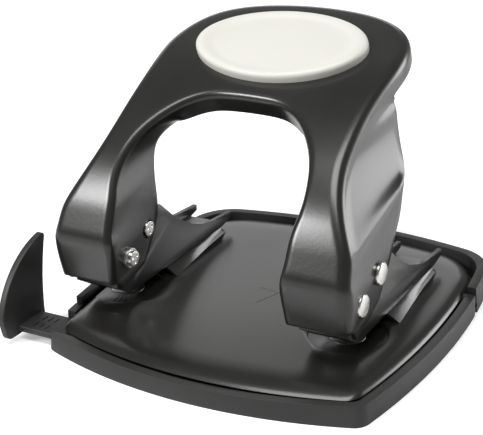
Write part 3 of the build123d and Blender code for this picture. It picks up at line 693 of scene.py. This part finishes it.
def handle_shell():
    """Fold the web and its flanges, add the ears, thicken the skin and cut the pins' holes."""
    outer_fold, outer_start = folded_edge(rail(OUTER_EDGE), 1, OUTER_BEND, OUTER_REAR, LIP_DEPTH,
                                          OUTER_LIP_FROM, OUTER_BEND_STEPS)
    inner_fold, inner_start = folded_edge(rail(INNER_EDGE), -1, INNER_BEND, INNER_REAR, ARCH_DEPTH,
                                          INNER_LIP_FROM, INNER_BEND_STEPS)
    columns = list(reversed(inner_fold))
    for step in range(1, WEB_COLUMNS):
        share = step / WEB_COLUMNS
        run = inner_start[0] * (1 - share) + outer_start[0] * share
        x = inner_start[1] * (1 - share) + outer_start[1] * share
        columns.append(in_space(run, x)[0])
    columns += outer_fold
    grid = np.stack(columns, 1)
    rows, width = grid.shape[:2]
    points = [tuple(point) for point in grid.reshape(-1, 3)]
    faces = sheet_faces(rows, width)
    front_y, front_z = EAR_FRONT
    for row in (0, rows - 1):
        for flange, (rear_y, rear_z) in ((range(FLANGE_STEPS, -1, -1), INNER_EAR_REAR),
                                         (range(width - FLANGE_STEPS - 1, width), OUTER_EAR_REAR)):
            low = len(points)
            for step, column in enumerate(flange):
                share = step / FLANGE_STEPS
                points.append((grid[row, column, 0], front_y + (rear_y - front_y) * share,
                               front_z + (rear_z - front_z) * share))
            for step in range(FLANGE_STEPS):
                top, top_next = row * width + flange[step], row * width + flange[step + 1]
                faces.append((top, top_next, low + step + 1, low + step))
    shell = mesh_object("pressed_handle", points, faces, "lever", "black_enamel", ENAMEL)

    def weld(work):
        bmesh.ops.remove_doubles(work, verts=work.verts, dist=0.00001)
        face_out(work)
        work.faces.ensure_lookup_table()
        front = min(work.faces, key=lambda face: face.calc_center_median().y)
        if front.normal.y > 0:
            bmesh.ops.reverse_faces(work, faces=work.faces)

    rework(shell.data, weld)
    thicken(shell, SHEET_T, even=True)
    round_edges(shell, 0.25, 2, 60)
    carve(shell, [ear_slot(PIVOT_Y, PIVOT_Z, PIVOT_HOLE_R, 0.0),
                  ear_slot(0.0, DRIVE_Z - SLOT_DROP, SLOT_R, SLOT_HALF_RUN)])
    smooth(shell, 40)
    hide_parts("handle")


def ear_slot(y, z, radius, half_run):
    """A cutter through all four ears: a round hole, or a short slot along the pin's path."""
    tilt = math.atan2(DRIVE_Z - PIVOT_Z, -PIVOT_Y)
    ring = []
    for angle in np.linspace(0, 2 * math.pi, 48, endpoint=False):
        u = radius * math.cos(angle) + (half_run if math.cos(angle) > 0 else -half_run)
        v = radius * math.sin(angle)
        ring.append((y + u * math.cos(tilt) - v * math.sin(tilt),
                     z + u * math.sin(tilt) + v * math.cos(tilt)))
    rings = [[(x, py, pz) for py, pz in ring] for x in (-60, 60)]
    return scrap_object(*stack_rings(rings, True, True))


handle_shell()

# ---------------------------------------------------------------- handle pad
# The pad where the hand presses is an off-white plastic moulding with a fine satin skin. It is an oval with a
# rounded rim round a shallow dish, and it lies on the top of the handle.
PAD_RUN, PAD_HALF_LONG, PAD_HALF_SHORT = 95.3, 29.4, 18.2
# The pad from its foot over its rim to its middle, each point as (share of its half width, height)
PAD_PROFILE = [(1.0, 0.0), (1.0, 1.5), (0.995, 2.2), (0.98, 2.7), (0.955, 3.0), (0.92, 3.12), (0.88, 3.0),
               (0.845, 2.7), (0.81, 2.42), (0.78, 2.28), (0.73, 2.22), (0.5, 2.2), (0.25, 2.2), (0.08, 2.2)]


def white_moulding():
    """Off-white plastic, a satin skin with a very fine spark-eroded grain."""
    plastic = Finish("white_plastic")
    tone = plastic.noise(40.0, 3.0)
    grain = plastic.noise(2600.0, 2.0)
    colour = plastic.blend(tone, (0.66, 0.65, 0.595, 1), (0.70, 0.69, 0.64, 1))
    return plastic.surface(colour, plastic.between(grain, 0.40, 0.50), grain, 0.00001)


def handle_pad():
    """Stack the pad's rings on the bent top of the handle."""
    turn = np.linspace(0, 2 * math.pi, 160, endpoint=False)
    rings = []
    for share, height in PAD_PROFILE:
        run = PAD_RUN + PAD_HALF_SHORT * share * np.sin(turn)
        x = PAD_HALF_LONG * share * np.cos(turn)
        place, heading = in_space(run, x)
        normal = np.stack([0 * heading, -np.sin(heading), np.cos(heading)], 1)
        rings.append([tuple(point) for point in place + normal * height])
    points, faces = stack_rings(rings, True, True)
    pad = mesh_object("oval_pad", points, faces, "lever", "white_plastic", white_moulding())
    smooth(pad, 50)
    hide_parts("handle_pad")


handle_pad()

# ---------------------------------------------------------------- paper gauge
# The paper gauge is a flat bar with a fin at its end, moulded in dark grey plastic. The bar slides in a
# channel under the base plate.


def grey_moulding():
    """Dark grey plastic with a fine matt grain."""
    plastic = Finish("grey_plastic")
    tone = plastic.noise(50.0, 3.0)
    grain = plastic.noise(2200.0, 3.0)
    colour = plastic.blend(tone, (0.020, 0.020, 0.019, 1), (0.030, 0.030, 0.029, 1))
    return plastic.surface(colour, plastic.between(grain, 0.42, 0.54), grain, 0.00003)


GREY = grey_moulding()
BAR_FRONT, BAR_REAR, BAR_TOP = -33.2, -21.4, 4.5
softened("paper_gauge", "moulded_gauge", "gauge", GREY, 0.5)
softened("gauge_guide", "gauge_channel", "base", GREY, 0.15)
MARK_X, MARK_LONG, MARK_WIDE, MARK_HIGH, MARK_PITCH = -53.0, 2.6, 0.6, 0.25, (2.2, 4.6)
MARK_COLUMNS, MARK_ROWS, MARK_ROUND = 3, 2, 0.45


def mark_tree():
    """Geometry nodes for the paper-size marks: a grid of small bars with rounded ends."""
    tree = open_tree("size_marks", ("Length", "Width", "Height", "Pitch X", "Pitch Y"), "Mark finish")
    given = tree.nodes.new("NodeGroupInput").outputs
    outline = tree.nodes.new("GeometryNodeCurvePrimitiveQuadrilateral")
    ends = tree.nodes.new("GeometryNodeFilletCurve")
    ends.mode = "POLY"
    ends.inputs["Count"].default_value = 4
    face = tree.nodes.new("GeometryNodeFillCurve")
    solid = tree.nodes.new("GeometryNodeExtrudeMesh")
    grid = tree.nodes.new("GeometryNodeMeshGrid")
    grid.inputs["Vertices X"].default_value = MARK_COLUMNS
    grid.inputs["Vertices Y"].default_value = MARK_ROWS
    rows = tree.nodes.new("ShaderNodeMath")
    rows.operation = "MULTIPLY"
    rows.inputs[1].default_value = MARK_COLUMNS - 1.0
    radius = tree.nodes.new("ShaderNodeMath")
    radius.operation = "MULTIPLY"
    radius.inputs[1].default_value = MARK_ROUND
    place = tree.nodes.new("GeometryNodeTransform")
    spread = tree.nodes.new("GeometryNodeInstanceOnPoints")
    real = tree.nodes.new("GeometryNodeRealizeInstances")
    paint = tree.nodes.new("GeometryNodeSetMaterial")
    out = tree.nodes.new("NodeGroupOutput")
    for start, end in ((given["Width"], outline.inputs["Width"]), (given["Length"], outline.inputs["Height"]),
                       (given["Width"], radius.inputs[0]), (outline.outputs["Curve"], ends.inputs["Curve"]),
                       (radius.outputs[0], ends.inputs["Radius"]),
                       (ends.outputs["Curve"], face.inputs["Curve"]),
                       (face.outputs["Mesh"], solid.inputs["Mesh"]),
                       (given["Height"], solid.inputs["Offset Scale"]),
                       (given["Pitch X"], rows.inputs[0]), (rows.outputs[0], grid.inputs["Size X"]),
                       (given["Pitch Y"], grid.inputs["Size Y"]),
                       (grid.outputs["Mesh"], place.inputs["Geometry"]),
                       (given["Place"], place.inputs["Translation"]),
                       (place.outputs["Geometry"], spread.inputs["Points"]),
                       (solid.outputs["Mesh"], spread.inputs["Instance"]),
                       (spread.outputs["Instances"], real.inputs["Geometry"]),
                       (real.outputs["Geometry"], paint.inputs["Geometry"]),
                       (given["Mark finish"], paint.inputs["Material"]),
                       (paint.outputs["Geometry"], out.inputs["Geometry"])):
        tree.links.new(start, end)
    return tree


marks = node_piece("size_marks", mark_tree(),
                   {"Length": MARK_LONG * MM, "Width": MARK_WIDE * MM, "Height": MARK_HIGH * MM,
                    "Pitch X": MARK_PITCH[0] * MM, "Pitch Y": MARK_PITCH[1] * MM,
                    "Place": (MARK_X * MM, (BAR_FRONT + BAR_REAR) / 2 * MM, BAR_TOP * MM),
                    "Mark finish": GREY})
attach(marks, "gauge")

# ---------------------------------------------------------------- chip tray and rear shell
# The tray that catches the chips and the shell behind it are moulded in the same dark grey plastic. The tray
# swings down on two rods at the seam, and the shell is screwed to the plate.
RIM_LOW, RIM_LIFT, RIM_FRONT_DIP, RIM_W, RIM_FADE = 3.6, 1.9, 0.7, 4.6, 0.4
DIP_MIDDLE_X, DIP_HALF, DIP_FRONT_OF = 7.0, 45.0, -25
tray = softened("chip_tray", "moulded_tray", "tray", GREY, 0.5)
# The wall's top is lifted, a little less at the middle of the front.
for corner in tray.data.vertices:
    x, y, z = corner.co / MM
    at_rim = outline_gap(np.array(x), np.array(y), 0.0, 0.0) > -RIM_W
    if z > RIM_LOW and at_rim:
        dip = RIM_FRONT_DIP * max(0.0, 1 - ((x - DIP_MIDDLE_X) / DIP_HALF) ** 2) if y < DIP_FRONT_OF else 0.0
        corner.co.z += (RIM_LIFT - dip) * min(1.0, (z - RIM_LOW) / RIM_FADE) * MM
softened("rear_shell", "moulded_shell", "base", GREY, 0.5)

# ---------------------------------------------------------------- table, light and camera
# A white table top with a soft shadow, under a wide soft lamp and three smaller ones. The camera stands where
# the photo was taken from. Where it sees no table it sees plain white.
CAMERA_AZIMUTH, CAMERA_ELEVATION, CAMERA_ROLL = 31.46, 23.40, -3.34
CAMERA_TARGET, CAMERA_DISTANCE, CAMERA_FOCAL = (5.16, 0.0, 39.83), 400.9, 1324.9
PHOTO_WIDTH, SENSOR_WIDTH = 483, 36.0
TABLE_REACH, TABLE_ROUGHNESS, TABLE_GLOW, ROOM_SOFT = 3.0, 0.3, 0.36, 0.18
WHITE = (1, 1, 1, 1)


def table_top():
    """A wide white sheet, a little lighter to the camera than to the lamps."""
    paper = Finish("white_table")
    tone = paper.noise(3.0, 2.0)
    colour = paper.blend(tone, (0.86, 0.86, 0.86, 1), (0.88, 0.88, 0.88, 1))
    look = {"Base Color": colour, "Roughness": TABLE_ROUGHNESS}
    plain = paper.node("ShaderNodeBsdfPrincipled", {}, look)
    lit = paper.node("ShaderNodeBsdfPrincipled", {},
                     {**look, "Emission Color": WHITE, "Emission Strength": TABLE_GLOW})
    seen = paper.node("ShaderNodeLightPath", {}, {}, "Is Camera Ray")
    paper.close(paper.node("ShaderNodeMixShader", {}, {0: seen, 1: plain, 2: lit}))
    mesh = bpy.data.meshes.new("table_top")
    mesh.from_pydata([(-TABLE_REACH, -TABLE_REACH, 0), (TABLE_REACH, -TABLE_REACH, 0),
                      (TABLE_REACH, TABLE_REACH, 0), (-TABLE_REACH, TABLE_REACH, 0)], [], [(0, 1, 2, 3)])
    mesh.materials.append(paper.material)
    top = bpy.data.objects.new("table_top", mesh)
    bpy.context.collection.objects.link(top)


def white_room():
    """A world that is white to the camera and dim to everything else."""
    world = bpy.data.worlds.new("white_room")
    world.use_nodes = True
    tree = world.node_tree
    tree.nodes.clear()
    path = tree.nodes.new("ShaderNodeLightPath")
    mix = tree.nodes.new("ShaderNodeMixShader")
    out = tree.nodes.new("ShaderNodeOutputWorld")
    for place, strength in ((1, ROOM_SOFT), (2, 1.0)):
        light = tree.nodes.new("ShaderNodeBackground")
        light.inputs["Color"].default_value = WHITE
        light.inputs["Strength"].default_value = strength
        tree.links.new(light.outputs[0], mix.inputs[place])
    tree.links.new(path.outputs["Is Camera Ray"], mix.inputs[0])
    tree.links.new(mix.outputs[0], out.inputs[0])
    bpy.context.scene.world = world


def soft_lamp(name, place, aim, size, power):
    """A rectangular soft box, in metres and watts."""
    data = bpy.data.lights.new(name, "AREA")
    data.shape = "RECTANGLE"
    data.size, data.size_y = size
    data.energy = power
    lamp = bpy.data.objects.new(name, data)
    bpy.context.collection.objects.link(lamp)
    way = Vector(aim) - Vector(place)
    lamp.matrix_world = Matrix.Translation(Vector(place)) @ way.to_track_quat("-Z", "Y").to_matrix().to_4x4()


def photo_camera():
    """The camera where the photo was taken from, in the frame of the solids."""
    azimuth, elevation, roll = (math.radians(v) for v in (CAMERA_AZIMUTH, CAMERA_ELEVATION, CAMERA_ROLL))
    back = Vector((math.sin(azimuth) * math.cos(elevation), -math.cos(azimuth) * math.cos(elevation),
                   math.sin(elevation)))
    level = Vector((0, 0, 1)).cross(back).normalized()
    up = back.cross(level)
    right = math.cos(roll) * level + math.sin(roll) * up
    top = math.cos(roll) * up - math.sin(roll) * level
    data = bpy.data.cameras.new("photo_camera")
    data.sensor_width = SENSOR_WIDTH
    data.sensor_fit = "HORIZONTAL"
    data.lens = SENSOR_WIDTH * CAMERA_FOCAL / PHOTO_WIDTH
    data.clip_start = 0.01
    camera = bpy.data.objects.new("photo_camera", data)
    bpy.context.collection.objects.link(camera)
    place = (Vector(CAMERA_TARGET) + back * CAMERA_DISTANCE) * MM
    camera.matrix_world = Matrix.Translation(place) @ Matrix((right, top, back)).transposed().to_4x4()
    bpy.context.scene.camera = camera


table_top()
white_room()
soft_lamp("overhead_box", (0.05, -0.2, 0.9), (0, 0, 0.04), (0.7, 0.4), 6.5)
soft_lamp("front_left_box", (-0.62, -0.82, 0.7), (0, 0, 0.05), (0.25, 0.35), 8.0)
soft_lamp("rear_left_box", (-0.65, 1.0, 0.45), (0, 0, 0.05), (1.0, 0.4), 1.6)
soft_lamp("rear_right_box", (0.8, 0.95, 0.3), (0, 0, 0.05), (0.6, 0.5), 6.0)
photo_camera()
bpy.context.scene.view_settings.view_transform = "Standard"
